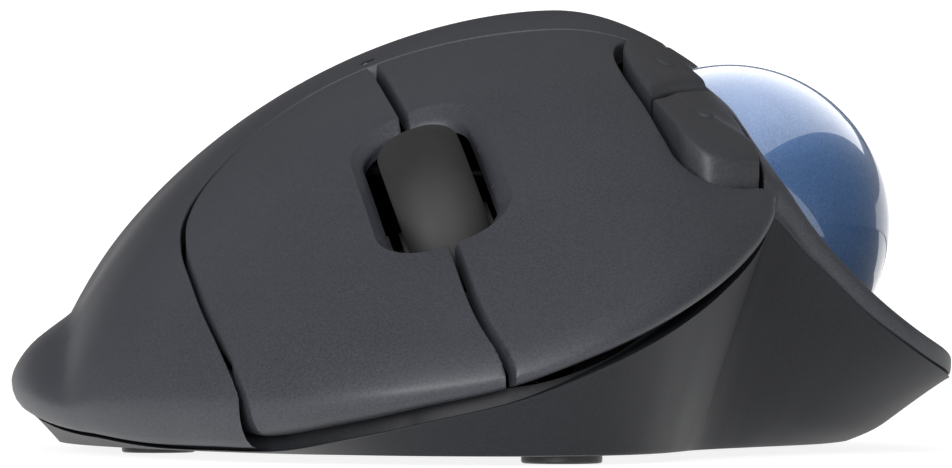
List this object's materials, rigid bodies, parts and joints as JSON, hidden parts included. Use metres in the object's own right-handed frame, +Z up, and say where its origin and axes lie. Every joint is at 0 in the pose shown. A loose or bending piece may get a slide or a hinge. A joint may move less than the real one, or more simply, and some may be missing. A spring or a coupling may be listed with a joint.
{
  "type": "trackball mouse",
  "caption": "Thumb-operated wireless trackball mouse with a sculpted palm shell, split main buttons, slanted scroll wheel, side buttons beside the ball and an underside battery door.",
  "frame": {"origin": "on the desk plane, under the centre of the bounding box", "axes": "+Z up, the nose and buttons towards -Y, the thumb side and ball towards +X"},
  "size_m": [0.1003, 0.1344, 0.048],
  "materials": {
    "shell": "fine matte grain, graphite",
    "side_buttons": "fine matte grain, darker graphite",
    "base": "fine matte grain, dark graphite",
    "feet": "smooth low-friction pads",
    "ball": "pearl blue under a clear gloss coat",
    "socket": "moulded black",
    "ceramic": "polished ceramic",
    "clear": "clear moulded",
    "chip": "moulded package",
    "board": "green solder mask",
    "steel": "bright steel",
    "nickel": "nickel plated",
    "tyre": "smooth dark rubber",
    "hub": "moulded grey",
    "carrier": "moulded black",
    "encoder": "moulded dark grey",
    "switch": "moulded black",
    "slider": "moulded grey",
    "tray": "moulded black",
    "cell": "printed foil sleeve",
    "receiver": "black with steel plug",
    "leads": "insulated wire",
    "led": "white package"
  },
  "bodies": {
    "base": {"palm_cover": "shell", "thumb_cover": "shell", "base_shell": "base", "feet": "feet", "ball_socket": "socket", "support_bearings": "ceramic", "sensor_lens": "clear", "light_pipe": "clear", "optical_sensor": "chip", "radio_chip": "chip", "sensor_board": "board", "main_board": "board", "side_board": "board", "clock_crystal": "steel", "key_hinge_pin": "steel", "case_screws": "steel", "board_screws": "steel", "socket_screws": "steel", "carrier_springs": "steel", "contact_spring": "nickel", "contact_plate": "nickel", "left_click_switch": "switch", "right_click_switch": "switch", "middle_click_switch": "switch", "side_switches": "switch", "connect_switch": "switch", "power_switch": "switch", "battery_tray": "tray", "battery_cell": "cell", "usb_receiver": "receiver", "battery_leads": "leads", "indicator_led": "led"},
    "left_button": {"left_button": "shell"},
    "right_button": {"right_button": "shell"},
    "forward_button": {"forward_button": "side_buttons"},
    "back_button": {"back_button": "side_buttons"},
    "wheel_carrier": {"wheel_carrier": "carrier", "wheel_encoder": "encoder"},
    "scroll_wheel": {"wheel_tyre": "tyre", "wheel_hub": "hub", "wheel_axle": "steel"},
    "trackball": {"trackball": "ball"},
    "power_slider": {"power_slider": "slider"},
    "connect_button": {"connect_button": "slider"},
    "battery_door": {"battery_door": "base"}
  },
  "joints": [
    {"name": "left_button_press", "type": "hinge", "parent": "base", "child": "left_button", "pos_m": [0, -0.011, 0.029], "axis": [1, 0, 0], "range_deg": [0, 0.8], "stiffness_Nm_per_rad": 2, "springref_deg": -0.57},
    {"name": "right_button_press", "type": "hinge", "parent": "base", "child": "right_button", "pos_m": [0, -0.011, 0.029], "axis": [1, 0, 0], "range_deg": [0, 0.8], "stiffness_Nm_per_rad": 2, "springref_deg": -0.57},
    {"name": "forward_button_press", "type": "slide", "parent": "base", "child": "forward_button", "axis": [0, 0, -1], "range_m": [0, 0.0006], "stiffness_N_per_m": 1200, "springref_m": -0.0003},
    {"name": "back_button_press", "type": "slide", "parent": "base", "child": "back_button", "axis": [0, 0, -1], "range_m": [0, 0.0006], "stiffness_N_per_m": 1200, "springref_m": -0.0003},
    {"name": "wheel_press", "type": "slide", "parent": "base", "child": "wheel_carrier", "axis": [0.342, 0, -0.9397], "range_m": [0, 0.0005], "stiffness_N_per_m": 1500, "springref_m": -0.0004, "deforming": ["carrier_springs"]},
    {"name": "wheel_spin", "type": "hinge", "parent": "wheel_carrier", "child": "scroll_wheel", "pos_m": [-0.0023, -0.0342, 0.0208], "axis": [0.9397, 0, 0.342], "continuous": true},
    {"name": "ball_roll", "type": "hinge", "parent": "base", "child": "trackball", "pos_m": [0.0269, -0.003, 0.024], "axis": [0, 1, 0], "continuous": true},
    {"name": "power_slide", "type": "slide", "parent": "base", "child": "power_slider", "axis": [1, 0, 0], "range_m": [0, 0.003]},
    {"name": "connect_press", "type": "slide", "parent": "base", "child": "connect_button", "axis": [0, 0, 1], "range_m": [0, 0.0003], "stiffness_N_per_m": 600, "springref_m": -0.0003},
    {"name": "battery_door_hinge", "type": "hinge", "parent": "base", "child": "battery_door", "pos_m": [-0.0057, -0.0056, 0.0017], "axis": [-1, 0, 0], "range_deg": [0, 60]}
  ]
}
